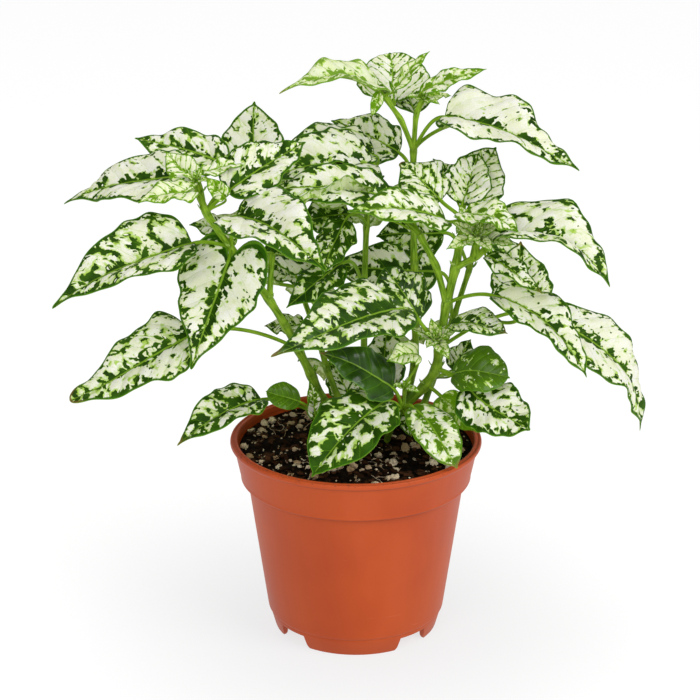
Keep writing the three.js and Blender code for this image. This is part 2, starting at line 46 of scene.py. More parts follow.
mm = 0.001
pot_height = 96
rim_radius = 60
wall, band_wall = 1.7, 2.1
body_top = (51.8, 76)
body_foot = (42.6, 9.4)
band_low, band_high, band_z = 54.9, 58, 92.6
floor_low, floor_high = 7.4, 9.6
foot_inner, foot_outer = 37.4, 39.4
foot_count, foot_turn = 4, math.radians(-3)
foot_gap_width, foot_gap_height, foot_gap_reach = 16.6, 6.8, 7
drain_count, drain_radius, drain_ring = 5, 4, 24
pot_sides, drain_sides = 180, 32


def place(name, data):
    piece = bpy.data.objects.new(name, data)
    bpy.context.scene.collection.objects.link(piece)
    return piece


class Shape:
    """Points in millimetres, with faces and notes on their surface, gathered into one mesh."""

    def __init__(self):
        self.points = []
        self.faces = []
        self.notes = {}
        self.count = 0

    def add(self, points, faces, **notes):
        self.points.append(np.reshape(points, (-1, 3)))
        self.faces += [tuple(corner + self.count for corner in face) for face in faces]
        added = len(self.points[-1])
        for name, values in notes.items():
            values = np.broadcast_to(values, np.shape(points)).reshape(-1, 3)
            self.notes.setdefault(name, []).append(values)
        self.count += added

    def loft(self, rings, capped=True, **notes):
        """Join rings of points in order, each to the next, and close the two ends."""
        rows, around = np.shape(rings)[:2]
        start = np.arange((rows - 1) * around).reshape(rows - 1, around)
        corners = [start, np.roll(start, -1, 1), np.roll(start, -1, 1) + around, start + around]
        faces = np.stack(corners, -1).reshape(-1, 4).tolist()
        if capped:
            faces.append(list(range(around))[::-1])
            faces.append(list(range((rows - 1) * around, rows * around)))
        self.add(rings, faces, **notes)

    def make(self, name, crease=40):
        mesh = bpy.data.meshes.new(name)
        mesh.from_pydata((np.concatenate(self.points) * mm).tolist(), [], self.faces)
        for note, values in self.notes.items():
            kept = mesh.attributes.new(note, "FLOAT_VECTOR", "POINT")
            kept.data.foreach_set("vector", np.concatenate(values).astype(np.float32).ravel())
        mesh.shade_smooth()
        mesh.set_sharp_from_angle(angle=math.radians(crease))
        return place(name, mesh)


def rounded(outline, steps=4):
    """The corners of an outline, with an arc for each that has a rounding as its third number."""
    points, notes = [], []
    for before, corner, after in zip(outline[-1:] + outline[:-1], outline, outline[1:] + outline[:1]):
        middle, rounding = np.array(corner[:2], float), corner[2]
        if not rounding:
            points.append(middle)
            notes.append((0, *corner[3:]))
            continue
        arms = [np.array(end[:2]) - middle for end in (before, after)]
        reach = [min(rounding, 0.48 * np.linalg.norm(arm)) for arm in arms]
        start, end = [middle + arm / np.linalg.norm(arm) * long for arm, long in zip(arms, reach)]
        for t in np.linspace(0, 1, steps + 1):
            points.append((1 - t) ** 2 * start + 2 * t * (1 - t) * middle + t * t * end)
            notes.append((math.sin(math.pi * t) ** 2, *corner[3:]))
    return np.array(points), np.array(notes)


def turned(shape, outline, notes, sides, name):
    """Turn an outline of radius and height about the Z axis."""
    turn = np.linspace(0, 2 * np.pi, sides, endpoint=False)
    radius, height = outline[:, :1], outline[:, 1:]
    rings = np.stack([radius * np.cos(turn), radius * np.sin(turn), height + 0 * turn], -1)
    spread = np.repeat(np.pad(notes, ((0, 0), (0, 3 - notes.shape[1])))[:, None], sides, 1)
    shape.loft(rings, **{name: spread})


def body_inner(z):
    (top, top_z), (foot, foot_z) = body_top, body_foot
    return foot + (top - foot) * (z - foot_z) / (top_z - foot_z) - wall


def band_inner(z):
    low_z = body_top[1] + 1.4
    return band_low + (band_high - band_low) * (z - low_z) / (band_z - low_z) - band_wall


def body_outer(z):
    return body_inner(z) + wall


# Each corner is radius, height, rounding, and how far it is inside the pot, from 0 to 1
outside = [
    (0.5, floor_low, 0, 0), (foot_inner + 0.4, floor_low, 0.6, 0), (foot_inner, 0, 0.4, 0),
    (foot_outer, 0, 0.5, 0), (body_foot[0] - 1, floor_low + 0.6, 0.3, 0),
    (body_foot[0] - 1, body_foot[1] - 0.5, 0.2, 0), (body_foot[0], body_foot[1] + 0.2, 1.2, 0),
    (body_outer(40), 40, 0, 0), (body_top[0], body_top[1], 0.5, 0),
    (band_low - 0.7, body_top[1] + 0.1, 0.3, 0), (band_low + 0.15, body_top[1] + 0.9, 0.5, 0),
    (band_low + 0.1, body_top[1] + 2.2, 0.8, 0), (band_high, band_z, 0.7, 0),
    (rim_radius - 0.6, band_z + 0.9, 0.6, 0), (rim_radius, pot_height - 1.4, 0.7, 0),
    (rim_radius - 0.5, pot_height, 0.5, 0), (rim_radius - 1.3, pot_height - 0.1, 0.3, 0),
    (rim_radius - 1.7, pot_height - 0.55, 0.3, 0), (rim_radius - 2.2, pot_height - 0.5, 0.3, 0),
    (rim_radius - 2.5, pot_height, 0.4, 0), (rim_radius - 3.6, pot_height - 0.1, 0.6, 0.5),
    (band_inner(band_z), band_z, 0.8, 1), (band_inner(84), 84, 0, 1),
    (band_inner(body_top[1] + 2.6), body_top[1] + 2.6, 0.6, 1),
    (body_inner(body_top[1]), body_top[1] + 0.6, 0.6, 1),
    (body_inner(floor_high + 0.9), floor_high + 0.9, 0.8, 1),
    (body_inner(floor_high) - 1, floor_high, 0.6, 1), (0.5, floor_high, 0, 1),
]
pot_shape = Shape()
turned(pot_shape, *rounded(outside), pot_sides, "wear")
pot = pot_shape.make("pot_shell")

# A gap between two feet, as heights and the share of its width there. It is wide at the feet's corners
gap_side = [(-2, 1.2), (0.3, 1.16), (1.1, 1.07), (2.2, 1.02), (foot_gap_height, 0.94)]
gap_outline = [(share, high) for high, share in gap_side]
gap_outline += [(-share, high) for high, share in gap_side[::-1]]
cutter_shape = Shape()
for i in range(foot_count):
    heading = foot_turn + (i + 0.5) * 2 * math.pi / foot_count - math.pi / 2
    out = np.array((math.cos(heading), math.sin(heading), 0))
    beside = np.array((-out[1], out[0], 0)) * foot_gap_width / 2
    cutter_shape.loft(np.array([
        [out * far + beside * share + (0, 0, high) for share, high in gap_outline]
        for far in (foot_outer - foot_gap_reach, foot_outer + foot_gap_reach)]))
for i in range(drain_count):
    heading = i * 2 * math.pi / drain_count
    middle = drain_ring * np.array((math.cos(heading), math.sin(heading)))
    turn = np.linspace(0, 2 * np.pi, drain_sides, endpoint=False)
    ring = middle + drain_radius * np.stack([np.cos(turn), np.sin(turn)], -1)
    ends = [np.insert(ring, 2, height, 1) for height in (floor_low - 1, floor_high + 1)]
    cutter_shape.loft(np.array(ends))
cutter = cutter_shape.make("pot_gaps")
cut = pot.modifiers.new("gaps", "BOOLEAN")
cut.operation = "DIFFERENCE"
cut.solver = "EXACT"
cut.object = cutter
cut_mesh = bpy.data.meshes.new_from_object(pot.evaluated_get(bpy.context.evaluated_depsgraph_get()))
pot.modifiers.clear()
pot.data = cut_mesh
pot.data.shade_smooth()
pot.data.set_sharp_from_angle(angle=math.radians(40))
bpy.data.objects.remove(cutter)


def colour(red, green, blue):
    """A colour as the eye reads it, 0 to 255, in the linear form that sockets take."""
    shares = [value / 255 for value in (red, green, blue)]
    linear = [s / 12.92 if s <= 0.04045 else ((s + 0.055) / 1.055) ** 2.4 for s in shares]
    return (*linear, 1)


def maths(operation, swapped=False):
    def act(self, other=None):
        inputs = [self] if other is None else [other, self] if swapped else [self, other]
        return self.finish.node("ShaderNodeMath", {"operation": operation}, dict(enumerate(inputs)))
    return act


class Wire:
    """An output socket in a finish. Arithmetic on it adds Math nodes."""

    __add__ = __radd__ = maths("ADD")
    __mul__ = __rmul__ = maths("MULTIPLY")
    __sub__ = maths("SUBTRACT")
    __rsub__ = maths("SUBTRACT", swapped=True)
    __truediv__ = maths("DIVIDE")
    __rtruediv__ = maths("DIVIDE", swapped=True)
    __mod__ = maths("FLOORED_MODULO")
    __gt__ = maths("GREATER_THAN")
    __lt__ = maths("LESS_THAN")
    __abs__ = maths("ABSOLUTE")
    least = maths("MINIMUM")
    most = maths("MAXIMUM")
    root = maths("SQRT")

    def __init__(self, finish, socket):
        self.finish = finish
        self.socket = socket

    def rise(self, low, high):
        """0 below low, 1 above high, smooth between."""
        return self.finish.node(
            "ShaderNodeMapRange", {"interpolation_type": "SMOOTHSTEP"},
            {"Value": self, "From Min": low, "From Max": high})


class Finish:
    """A material on one Principled shader. Its constants are set here, what varies is linked later."""

    def __init__(self, name, constants):
        self.material = bpy.data.materials.new(name)
        self.material.use_nodes = True
        self.tree = self.material.node_tree
        self.shader = self.tree.nodes["Principled BSDF"]
        self.connect(self.shader, constants)

    def connect(self, node, sockets):
        for key, value in sockets.items():
            socket = node.inputs[key] if isinstance(key, int) else next(
                s for s in node.inputs if key in (s.identifier, s.name))
            if isinstance(value, Wire):
                self.tree.links.new(value.socket, socket)
            else:
                socket.default_value = value

    def node(self, kind, settings, sockets, out=0):
        node = self.tree.nodes.new(kind)
        for name, value in settings.items():
            setattr(node, name, value)
        self.connect(node, sockets)
        return Wire(self, node.outputs[out])

    def spot(self):
        return self.node("ShaderNodeTexCoord", {}, {}, "Object")

    def note(self, name):
        """The three numbers of a note that the mesh carries."""
        return self.split(self.node("ShaderNodeAttribute", {"attribute_name": name}, {}, "Vector"))

    def split(self, vector):
        return [self.node("ShaderNodeSeparateXYZ", {}, {0: vector}, axis) for axis in "XYZ"]

    def join(self, x, y, z=0.0):
        return self.node("ShaderNodeCombineXYZ", {}, {0: x, 1: y, 2: z})

    def mottle(self, vector, scale, detail=2.0, roughness=0.5):
        return self.node(
            "ShaderNodeTexNoise", {},
            {"Vector": vector, "Scale": scale, "Detail": detail, "Roughness": roughness}, "Fac")

    def stretched(self, x, y, z, detail, roughness=0.5):
        """Mottling with a scale of its own along each of its three numbers."""
        return self.mottle(self.join(x, y, z), 1.0, detail, roughness)

    def cells(self, x, y, out, feature="F1"):
        return self.node(
            "ShaderNodeTexVoronoi", {"voronoi_dimensions": "2D", "feature": feature},
            {"Vector": self.join(x, y), "Scale": 1.0}, out)

    def blend(self, factor, first, second):
        return self.node(
            "ShaderNodeMix", {"data_type": "RGBA"},
            {"Factor_Float": factor, "A_Color": first, "B_Color": second}, 2)

    def relief(self, height, distance, strength=1.0):
        return self.node(
            "ShaderNodeBump", {}, {"Height": height, "Distance": distance, "Strength": strength})

    def dress(self, piece, base, rough, normal):
        self.connect(self.shader, {"Base Color": base, "Roughness": rough, "Normal": normal})
        piece.data.materials.clear()
        piece.data.materials.append(self.material)


def pot_plastic():
    finish = Finish("pot_polypropylene", {
        "IOR": 1.49, "Specular IOR Level": 0.3})
    spot = finish.spot()
    x, y, z = finish.split(spot)
    edge, inside, _ = finish.note("wear")
    clouds = finish.mottle(spot, 22.0, 3.0)
    flow = finish.stretched(x * 60, y * 60, z * 6, 2.0)
    grain = finish.mottle(spot, 1400.0, 2.0)
    scuffs = finish.stretched(x * 40, y * 40, z * 900, 3.0, 0.6).rise(0.66, 0.74)
    scuffs = scuffs * finish.mottle(spot, 35.0, 1.0).rise(0.5, 0.62)
    body = finish.blend(clouds.rise(0.3, 0.7), colour(169, 62, 10), colour(179, 71, 16))
    body = finish.blend(flow.rise(0.45, 0.75) * 0.3, body, colour(191, 81, 37))
    # Painted highlight: the rounded edges of the rim, band and feet are painted a lighter orange
    body = finish.blend(edge * (0.5 + 0.4 * clouds.rise(0.35, 0.6)), body, colour(226, 138, 100))
    body = finish.blend(scuffs * 0.3, body, colour(216, 140, 106))
    soil_dust = finish.mottle(spot, 260.0, 4.0, 0.7).rise(0.42, 0.62) * inside
    # Painted shade: a thin dark line round the outside of the rim, 93.2 mm up, below its rolled lip
    rim_shade_line = 1 - (abs(z - 0.0932) * 1000).rise(0.15, 0.55)
    body = finish.blend(rim_shade_line * (1 - inside) * 0.5, body, colour(134, 48, 14))
    # Painted shadow: a thin dark line on the body just under the band's overhang
    band_shadow_line = 1 - (abs(z - body_top[1] * mm) * 1000).rise(0.2, 0.9)
    body = finish.blend(band_shadow_line * (1 - inside) * 0.55, body, colour(104, 38, 14))
    low_dust = (1 - z.rise(0.0, 0.012)) * clouds * 0.3
    # The inside of the pot is darker throughout, and darker still where the mottled soil dust lies
    body = finish.blend(soil_dust * 0.7 + inside * 0.3, body, colour(52, 28, 16))
    flecks = finish.mottle(spot, 700.0, 3.0).rise(0.6, 0.66) * z.rise(0.0945, 0.0956)
    body = finish.blend(flecks * 0.5, body, colour(56, 30, 16))
    body = finish.blend(low_dust, body, colour(140, 70, 44))
    rough = 0.36 + 0.16 * clouds + 0.2 * scuffs + 0.25 * soil_dust + 0.05 * grain
    height = grain * 0.25 + clouds * 0.4 - scuffs * 0.3 + soil_dust * 0.8
    finish.dress(pot, body, rough, finish.relief(height, 0.12 * mm, 0.6))


pot_plastic()
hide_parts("pot")
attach(pot, "root")


# The soil is a peat mix, filled to just under the rim and crumbly on top. It is one body with a lumpy
# top, and on it lie loose grains: white perlite, brown bark crumbs and a few pale fibres.

soil_gap = 0.35
soil_edge, soil_crown = 91.6, 93.2
soil_sides, soil_rings = 240, 96
soil_reach = band_inner(soil_edge) - soil_gap
stem_collars = [(-6, 6), (10, 8), (24, 36), (3, 30), (15, 0), (-2, 22), (33, 36)]
collar_reach = 3.4


def lumps(x, y, size, seed):
    return noise.noise(Vector((x / size, y / size, seed)))


def soil_top(x, y):
    out = min(math.hypot(x, y) / soil_reach, 1)
    broad = math.sin(x * 0.31 + 1.2) * math.cos(y * 0.27) + 0.6 * math.sin(x * 0.13 - y * 0.41)
    smooth = soil_crown + (soil_edge - soil_crown) * out * out + 0.6 * broad * (1 - out ** 6)
    crumbs = 1.1 * lumps(x, y, 5, 3) + 0.8 * abs(lumps(x, y, 2.4, 5)) + 0.35 * lumps(x, y, 1.1, 8)
    return smooth + crumbs * (1 - out ** 10)


soil_shape = Shape()
top_z = body_top[1]
soil_side = [
    (0.5, floor_high + soil_gap), (body_inner(floor_high) - 1.4, floor_high + soil_gap),
    (body_inner(floor_high + 1.2) - soil_gap, floor_high + 1.2),
    (body_inner(top_z) - soil_gap, top_z - 0.2), (body_inner(top_z) - soil_gap, top_z + 1.1),
    (band_inner(top_z + 3) - soil_gap - 0.1, top_z + 3),
]
soil_top_rings = [(radius, soil_edge) for radius in np.linspace(soil_reach, 0.4, soil_rings)]
soil_outline = np.array(soil_side + soil_top_rings)
turned(soil_shape, soil_outline, np.zeros((len(soil_outline), 1)), soil_sides, "grain")
for spot in soil_shape.points[0][len(soil_side) * soil_sides:]:
    spot[2] = soil_top(spot[0], spot[1])
soil = soil_shape.make("soil_bed", crease=180)

grain_seed = 11
perlite_count, perlite_dust_count, bark_count, fibre_count = 112, 320, 760, 70
grains_shape = Shape()
draw = np.random.default_rng(grain_seed)


def ball(steps):
    work = bmesh.new()
    bmesh.ops.create_icosphere(work, subdivisions=steps, radius=1)
    points = np.array([vertex.co[:] for vertex in work.verts])
    faces = [tuple(vertex.index for vertex in face.verts) for face in work.faces]
    work.free()
    return points, faces


def lay_grain(kind, size, steps, flat, rough):
    """One grain of soil: a ball pushed in and out, laid half in the soil, clear of the stems."""
    out = (soil_reach - 1.5) * math.sqrt(draw.random())
    heading = 2 * math.pi * draw.random()
    x, y = out * math.cos(heading), out * math.sin(heading)
    if min(math.hypot(x - near_x, y - near_y) for near_x, near_y in stem_collars) < collar_reach:
        return
    points, faces = balls[steps]
    shift = Vector(draw.random(3) * 50)
    swell = [1 + rough * noise.noise(Vector(p) * 1.3 + shift) + 0.5 * rough * noise.noise(
        Vector(p) * 3.1 + shift) for p in points]
    stretch = np.array((1 + 0.6 * draw.random(), 1, flat))
    tilt, spin = draw.uniform(-0.5, 0.5), draw.uniform(0, math.pi)
    lying = points * np.array(swell)[:, None] * stretch * size
    cos, sin = math.cos(tilt), math.sin(tilt)
    lying = lying @ np.array(((cos, 0, sin), (0, 1, 0), (-sin, 0, cos)))
    cos, sin = math.cos(spin), math.sin(spin)
    lying = lying @ np.array(((cos, sin, 0), (-sin, cos, 0), (0, 0, 1)))
    lying += (x, y, soil_top(x, y) + 0.35 * size * flat)
    grains_shape.add(lying, faces, grain=(kind, draw.random(), draw.random()))


balls = {steps: ball(steps) for steps in (2, 3)}
for _ in range(perlite_count):
    lay_grain(0, draw.uniform(0.8, 2.1), 3, 0.8, 0.6)
for _ in range(perlite_dust_count):
    lay_grain(0, draw.uniform(0.25, 0.6), 2, 0.8, 0.5)
for _ in range(bark_count):
    lay_grain(1, draw.uniform(0.4, 1.5) ** 1.2, 2, 0.55, 0.8)
for _ in range(fibre_count):
    out, heading = (soil_reach - 6) * math.sqrt(draw.random()), 2 * math.pi * draw.random()
    x, y = out * math.cos(heading), out * math.sin(heading)
    bend, long = draw.uniform(-1, 1), draw.uniform(2, 6)
    path = []
    for t in np.linspace(-1, 1, 9):
        way = heading * 3 + bend * t
        px, py = x + long * t * math.cos(way), y + long * t * math.sin(way)
        path.append((px, py, soil_top(px, py) + 0.35 + 0.5 * (1 - t * t)))
    path = np.array(path)
    turn = np.linspace(0, 2 * np.pi, 5, endpoint=False)
    ring = np.stack([np.cos(turn), 0 * turn, np.sin(turn)], -1) * draw.uniform(0.1, 0.2)
    grains_shape.loft(path[:, None] + ring, grain=(0.6, draw.random(), draw.random()))
grains = grains_shape.make("soil_grains", crease=60)


def soil_finish(name, loose):
    finish = Finish(name, {"IOR": 1.4, "Specular IOR Level": 0.08})
    spot = finish.spot()
    kind, shade, damp = finish.note("grain")
    peat = finish.mottle(spot, 420.0, 6.0, 0.7)
    fine = finish.mottle(spot, 1800.0, 4.0, 0.7)
    base = finish.blend(peat.rise(0.35, 0.7), colour(3, 1, 0), colour(26, 16, 7))
    base = finish.blend(fine.rise(0.62, 0.75) * 0.25, base, colour(104, 74, 44))
    if loose:
        bark = finish.blend(shade, colour(12, 6, 2), colour(78, 48, 28))
        bark = finish.blend(peat.rise(0.4, 0.65) * 0.6, bark, colour(22, 13, 6))
        perlite = finish.blend(shade, colour(160, 130, 94), colour(236, 220, 190))
        perlite = finish.blend(fine.rise(0.45, 0.62) * (0.35 + 0.5 * damp), perlite, colour(84, 54, 34))
        base = finish.blend(kind.rise(0.55, 0.95), perlite, bark)
    rough = 0.78 + 0.2 * peat
    finish.dress(grains if loose else soil, base, rough, finish.relief(peat + fine * 0.5, 0.5 * mm))


for piece, name, loose in ((soil, "moist_peat", False), (grains, "perlite_and_bark", True)):
    soil_finish(name, loose)
    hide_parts("soil")
    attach(piece, "root")


# The left stem leans out to the left and carries the large cream leaves on that side. Each stem is one
# soft green shoot, swollen where its leaves grow in pairs. A leaf has a stalk, a blade that folds up a
# little from its midrib and waves at the edge, and dark green blotches on cream.

root_z = 77
slimming, joint_swell, between_joints, branch_share = 0.45, 1.25, 0.85, 0.62
stem_sides, stalk_sides = 20, 12
large_leaf, large_stalk, small_stalk = 19, 1.05, 0.62
wave_turns, bay_turns, notch_turns, crimp_turns = 2.2, 2.7, 6.1, 5.3
wave_height, crimp_height, bay_depth, dome_height = 1.25, 0.4, 0.04, 0.1
veins_a_leaf, least_spacing, full_spacing = 6, 2.4, 8.5
vein_slope, vein_bend = 0.75, 0.012
pillow_height, keel_depth, groove_depth = 0.4, 0.7, 0.14
lobe_width, lobe_length = 0.12, 0.12
blade_thickness, edge_thickness, least_half_width = 0.42, 0.2, 0.16
golden_angle = math.radians(137.5)
tuft_lean = math.radians(30)


def unit(vectors):
    vectors = np.asarray(vectors, float)
    return vectors / np.linalg.norm(vectors, axis=-1, keepdims=True)


def square_to(along, vector):
    """The part of a vector that is square to each direction along, one unit long."""
    vector = np.broadcast_to(np.asarray(vector, float), np.shape(along))
    return unit(vector - along * np.sum(vector * along, -1, keepdims=True))


def bezier(corners, t):
    level = [np.broadcast_to(np.array(corner, float), (len(t), 3)) for corner in corners]
    while len(level) > 1:
        level = [first + (second - first) * t[:, None] for first, second in zip(level, level[1:])]
    return level[0]


def round_rings(path, radii, up, sides, ribs=0.0):
    """Rings round a path. The first point of each is on its left and the next ones go over the top."""
    along = unit(np.gradient(path, axis=0))
    normal = square_to(along, up)
    side = np.cross(along, normal)
    turn = np.pi - np.linspace(0, 2 * np.pi, sides, endpoint=False)
    radii = np.asarray(radii)[:, None] * (1 + ribs * np.cos(4 * turn))
    return (path[:, None] + side[:, None] * (radii * np.cos(turn))[..., None]
            + normal[:, None] * (radii * np.sin(turn))[..., None])


def through(points, step=0.8, softness=2.6):
    """A path through points, straight but for soft bends, with its share of the way and the distance
    from the nearest point at each of its own points."""
    points = np.array(points, float)
    lengths = np.linalg.norm(np.diff(points, axis=0), axis=1)
    joints = np.concatenate([[0], np.cumsum(lengths)])
    reach = 4 * softness
    way = np.arange(-reach, joints[-1] + reach, step)
    first, last = unit(points[1] - points[0]), unit(points[-1] - points[-2])
    straight = np.stack([np.interp(way, joints, column) for column in points.T], -1)
    straight += np.outer(np.minimum(way, 0), first) + np.outer(np.maximum(way - joints[-1], 0), last)
    spread = np.exp(-((way[:, None] - way) / softness) ** 2)
    smooth = spread @ straight / spread.sum(1, keepdims=True)
    kept = (way > -step / 2) & (way < joints[-1] + step / 2)
    near = np.abs(way[:, None] - joints).min(1)
    joint = np.interp(way, joints, np.arange(len(points)))
    return smooth[kept], joint[kept], near[kept]


def half_width(u, width, round, taper, nose):
    """Half a blade's width at each share u of its length: a full body that ends in a slim nose."""
    body_end, body_taper = 0.97, 0.93 * taper
    widest = round / (round + body_taper)
    peak = widest ** round * (1 - widest) ** body_taper
    inner = np.minimum(u / body_end, 1)
    body = width / 2 * inner ** round * (1 - inner) ** body_taper / peak
    point = 2 * nose * np.sqrt(1 - u) * u ** 2
    return np.maximum(np.cbrt(body ** 3 + point ** 3), least_half_width)


class LeafyStem:
    """A stem with its branches, leaves and growing points, in the place of one node of the frame."""

    leaf_number = 0

    def __init__(self, node, radius, nodes, runs):
        self.node = node
        self.nodes = [np.array(spot, float) for spot in nodes]
        self.shoots = Shape()
        self.blades = Shape()
        for i, run in enumerate(runs):
            self.grow(run, radius * (branch_share if i else 1), rooted=i == 0)
            for joint in run[3:-1]:
                self.bud(joint, joint * golden_angle)
                self.bud(joint, joint * golden_angle + math.pi)

    def grow(self, run, width, rooted):
        path, joint, near = through([self.nodes[node] for node in run])
        swell = between_joints + (joint_swell - between_joints) * 0.55 * np.exp(-(near / 3.4) ** 2)
        swell = np.where(joint < 1, 1, swell) if rooted else swell
        scar = 0.02 * np.exp(-((near - 1.6) / 0.6) ** 2)
        radii = width * (1 - slimming * joint / len(self.nodes)) * (swell + scar)
        rings = round_rings(path, radii, (0, 1, 0), stem_sides, ribs=0.04)
        self.mark(rings, path, near, 0)

    def mark(self, rings, path, near, kind):
        length = np.concatenate([[0], np.cumsum(np.linalg.norm(np.diff(path, axis=0), axis=1))])
        turn = np.linspace(0, 1, rings.shape[1], endpoint=False)
        rind = np.stack(np.broadcast_arrays(length[:, None], turn, np.asarray(near)[:, None]), -1)
        self.shoots.loft(rings, rind=rind, shoot=np.array((kind, path[0][0], 0)))

    def leaf(self, at, base, tip, width, arch=0.1, fold=15, face=(0, -0.5, 1), round=0.5, taper=1,
             nose=None, lobe=0, wave=1.2, phase=0, green=0.4, young=0, gloss=0, pale=0):
        """A leaf from joint at, its blade from base to tip. Green is the share of dark green."""
        LeafyStem.leaf_number += 1
        seed = LeafyStem.leaf_number
        base, tip, node = np.array(base, float), np.array(tip, float), self.nodes[at]
        length = np.linalg.norm(tip - base)
        way = unit(tip - base)
        up = square_to(way, face)
        midrib = (base, (base + tip) / 2 + up * arch * length, tip)
        self.blade(midrib, up, length, width, fold, round, taper, nose or 0.08 * width, lobe, wave,
                   phase, seed, (green, young, gloss, pale))
        self.stalk(node, base, unit(midrib[1] - base), up, width)

    def stalk(self, node, base, start, up, width):
        reach = np.linalg.norm(base - node)
        if reach < 1:
            return
        rise = unit(unit(base - node) + np.array((0, 0, 0.4)))
        t = np.linspace(0, 1, 8 + int(reach / 1.6))
        path = bezier((node, node + rise * reach * 0.35, base - start * reach * 0.3, base), t)
        path = np.concatenate([path, [base + start * 1.5]])
        t = np.append(t, 1)
        thick = large_stalk if width > large_leaf else small_stalk
        radii = thick * (0.86 + 0.5 * np.exp(-(t * reach / 1.6) ** 2))
        radii[-1] *= 0.6
        self.mark(round_rings(path, radii, up, stalk_sides), path, t * reach, 1)

    def blade(self, midrib, up, length, width, fold, round, taper, nose, lobe, wave, phase, seed, look):
        rows, columns = 12 + int(length * 0.95), 2 * int(4 + width / 3.6) + 1
        t = np.linspace(0, 1, rows)
        u = t - 0.105 * np.sin(2 * np.pi * t)
        u = u * np.minimum(1, u / 0.1) if lobe else u
        s = np.linspace(-1, 1, columns)
        v = s * np.abs(s) ** 0.25
        path = bezier(midrib, u)
        sway = 0.08 * math.sin(1.7 * seed) * u * (1 - u)
        sway = sway + 0.014 * math.cos(2.3 * seed) * np.sin(2 * np.pi * u)
        path = path + np.outer(sway * length, np.cross(unit(midrib[2] - midrib[0]), up))
        along = unit(np.gradient(path, axis=0))
        normal = square_to(along, up)
        side = np.cross(along, normal)
        half = half_width(u, width, round, taper, nose)[:, None]
        lean = math.radians(fold)
        spacing = np.clip(length / veins_a_leaf, least_spacing, full_spacing)
        size = np.minimum(1, half / 6)
        left = np.where(v < 0, 1.3, 0)
        u = u[:, None]
        bays = np.sin(2 * np.pi * bay_turns * u + 2.1 * seed + 2 * left)
        bays = bays + 0.5 * np.sin(2 * np.pi * notch_turns * u + seed - left)
        half = half * (1 + bay_depth * wave * size * bays)
        q = v * half
        set_back = lobe * length * np.abs(v) * (1 - np.exp(-half / (lobe_width * width)))
        set_back = set_back * np.exp(-u / lobe_length)
        p = u * length - set_back
        ripple = wave_height * wave * size * np.sin(2 * np.pi * wave_turns * u + phase + left)
        crimp = np.sin(2 * np.pi * crimp_turns * u + seed + 2 * left)
        ripple = ripple + crimp_height * wave * size * crimp * np.abs(v) ** 3
        ripple = ripple - 0.3 * size * np.abs(v) ** 7
        dome = dome_height * half * np.sin(np.pi * np.abs(v))
        vein = p - vein_slope * np.abs(q) - vein_bend * q * q
        pillow = pillow_height * size * np.sin(np.pi * np.clip(np.abs(v), 0, 1)) ** 0.5
        quilt = -pillow * np.cos(2 * np.pi * vein / spacing)
        rise = np.abs(v) * (half * math.sin(lean) + ripple) + dome + quilt
        middle = (path[:, None] + side[:, None] * (q * math.cos(lean))[..., None]
                  + normal[:, None] * rise[..., None]
                  - along[:, None] * set_back[..., None])
        thin = blade_thickness + (edge_thickness - blade_thickness) * np.abs(v) ** 2
        thin = thin * (0.4 + 0.6 * size)
        keel = keel_depth * np.exp(-(q / 0.75) ** 2) * (1 - 0.75 * u) * np.minimum(1, half / 3)
        groove = groove_depth * np.exp(-(q / 0.5) ** 2) * size
        upper = middle + normal[:, None] * (thin / 2 - groove)[..., None]
        lower = middle - normal[:, None] * (thin / 2 + keel)[..., None]
        slope = np.gradient(half, u[:, 0] * length, axis=0)
        edge = (1 - np.abs(v)) * half / np.sqrt(1 + slope ** 2)
        edge = np.minimum(edge, np.maximum(length - p, 0))
        place = np.stack(np.broadcast_arrays(p, q, edge), -1)
        green, young, gloss, pale = look
        growth = np.broadcast_to(np.array((seed, green, length)), place.shape)
        upper_age = np.broadcast_to(np.array((young, pale, gloss)), place.shape)
        lower_age = np.broadcast_to(np.array((young, 1, gloss)), place.shape)
        self.blades.loft(
            np.concatenate([upper, lower[:, ::-1]], 1),
            place=np.concatenate([place, place[:, ::-1]], 1),
            growth=np.concatenate([growth, growth], 1),
            age=np.concatenate([upper_age, lower_age], 1))

    def tuft(self, at, count, reach):
        """Young leaves round a growing point that leans to the front, the outer ones longer and lower."""
        tip = self.nodes[at]
        whorl = 2 * count
        cos, sin = math.cos(tuft_lean), math.sin(tuft_lean)
        leaning = np.array(((1, 0, 0), (0, cos, sin), (0, -sin, cos)))
        for i in range(whorl):
            heading = i * golden_angle
            share = i / whorl
            climb = math.radians(80 - 85 * share)
            length = reach * (0.45 + 0.7 * share)
            out = np.array((math.cos(heading), math.sin(heading), 0))
            way = (out * math.cos(climb) + (0, 0, math.sin(climb))) @ leaning
            self.leaf(at, tip + way * 0.4, tip + way * length, length * 0.52, fold=14, arch=0.16,
                      face=((0, 0, 1) - out) @ leaning, wave=0.7, phase=i, green=0.02 + 0.15 * share,
                      young=1 - 0.25 * share)

    def bud(self, at, heading):
        """A pair of tiny leaves in the corner between the stem and a leaf's stalk."""
        out = np.array((math.cos(heading), math.sin(heading), 0))
        for side in (-0.5, 0.5):
            base = self.nodes[at] + out * 1.6 + (0, 0, 1)
            tip = base + out * 2.2 + (0, 0, 3.4) + side * np.array((-out[1], out[0], 0)) * 2.4
            way = unit(tip - base)
            up = square_to(way, -out)
            length = np.linalg.norm(tip - base)
            midrib = (base, (base + tip) / 2 - up * 0.1 * length, tip)
            self.blade(midrib, up, length, 1.8, 10, 0.5, 1, 0.1, 0, 0, 0, at, (0.2, 0.9, 0, 0))

    def finish(self, name):
        shoots = self.shoots.make(name + "_stem", crease=70)
        blades = self.blades.make(name + "_leaves", crease=60)
        shoots.data.materials.append(stem_skin)
        blades.data.materials.append(leaf_blade)
        for piece in (shoots, blades):
            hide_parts(self.node)
            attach(piece, "root")


